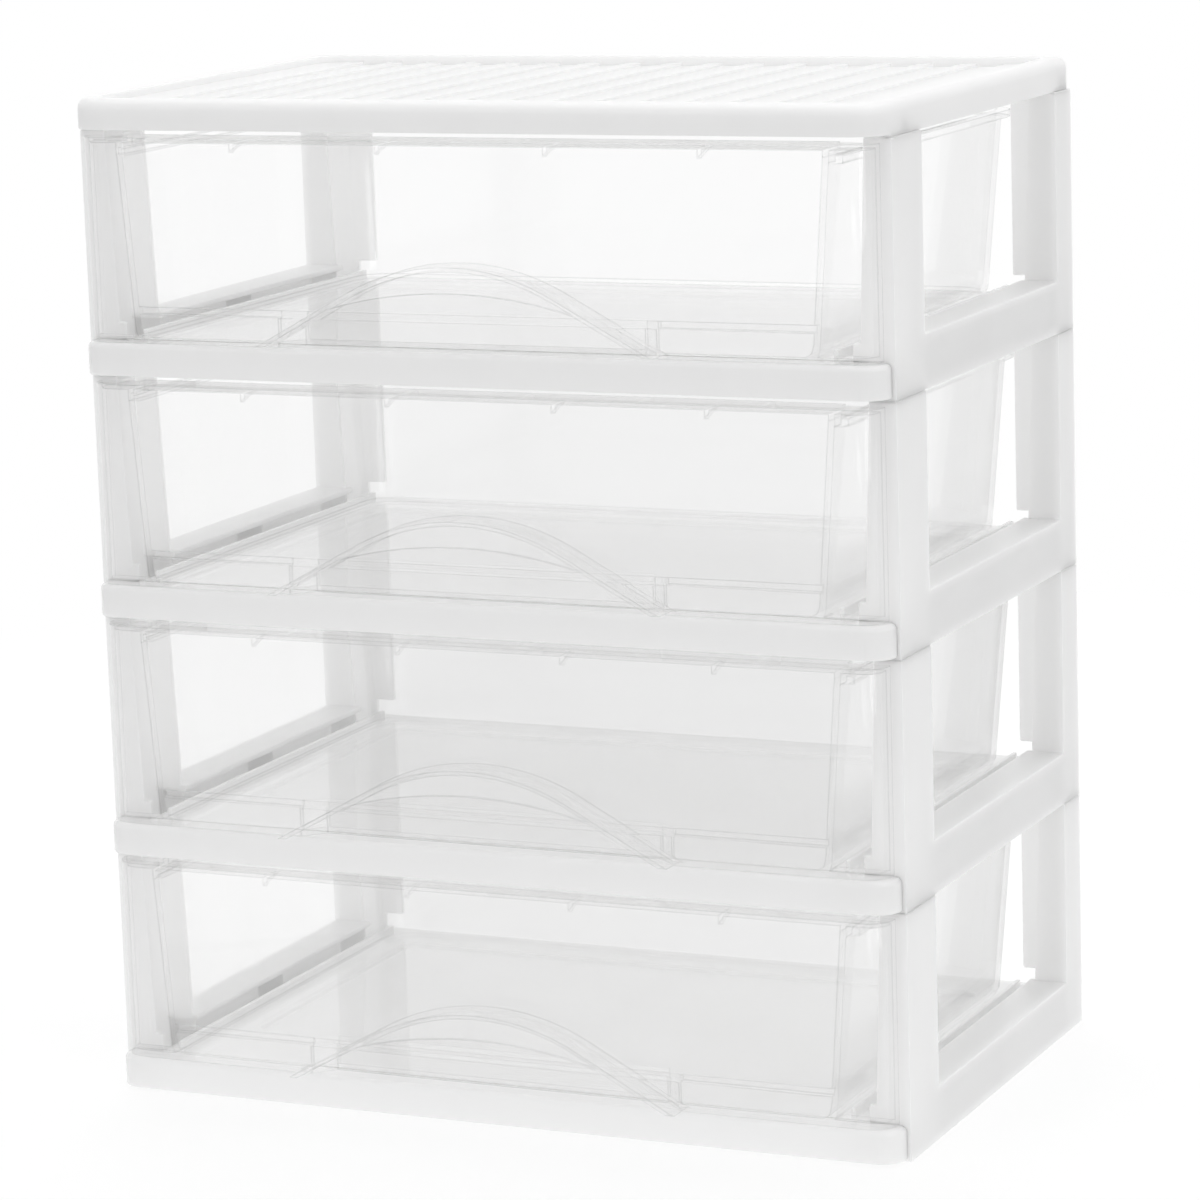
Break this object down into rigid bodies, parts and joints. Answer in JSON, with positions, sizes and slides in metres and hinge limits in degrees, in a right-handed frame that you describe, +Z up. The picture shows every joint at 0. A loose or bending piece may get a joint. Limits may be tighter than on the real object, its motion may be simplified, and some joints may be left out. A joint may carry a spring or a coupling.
{
  "type": "plastic drawer tower",
  "caption": "Free-standing tower of stacked white plastic tiers with open sides, each holding a clear pull-out drawer with an arched hood handle, under a grooved lid.",
  "frame": {"origin": "on the floor, in the middle of the footprint with the drawer hoods included", "axes": "+X across the tower to the right, -Y towards the user and the drawers' way out, +Z up"},
  "size_m": [0.368, 0.2466, 0.434],
  "materials": {
    "white_moulding": "white polypropylene, soft gloss",
    "clear_drawer": "clear polystyrene, glossy"
  },
  "bodies": {
    "frame": {"shelf_1": "white_moulding", "shelf_2": "white_moulding", "shelf_3": "white_moulding", "shelf_4": "white_moulding", "side_left_1": "white_moulding", "side_left_2": "white_moulding", "side_left_3": "white_moulding", "side_left_4": "white_moulding", "side_right_1": "white_moulding", "side_right_2": "white_moulding", "side_right_3": "white_moulding", "side_right_4": "white_moulding", "lid": "white_moulding"},
    "drawer_1": {"drawer_1": "clear_drawer"},
    "drawer_2": {"drawer_2": "clear_drawer"},
    "drawer_3": {"drawer_3": "clear_drawer"},
    "drawer_4": {"drawer_4": "clear_drawer"}
  },
  "joints": [
    {"name": "drawer_1_slide", "type": "slide", "parent": "frame", "child": "drawer_1", "axis": [0, -1, 0], "range_m": [0, 0.18]},
    {"name": "drawer_2_slide", "type": "slide", "parent": "frame", "child": "drawer_2", "axis": [0, -1, 0], "range_m": [0, 0.18]},
    {"name": "drawer_3_slide", "type": "slide", "parent": "frame", "child": "drawer_3", "axis": [0, -1, 0], "range_m": [0, 0.18]},
    {"name": "drawer_4_slide", "type": "slide", "parent": "frame", "child": "drawer_4", "axis": [0, -1, 0], "range_m": [0, 0.18]}
  ]
}
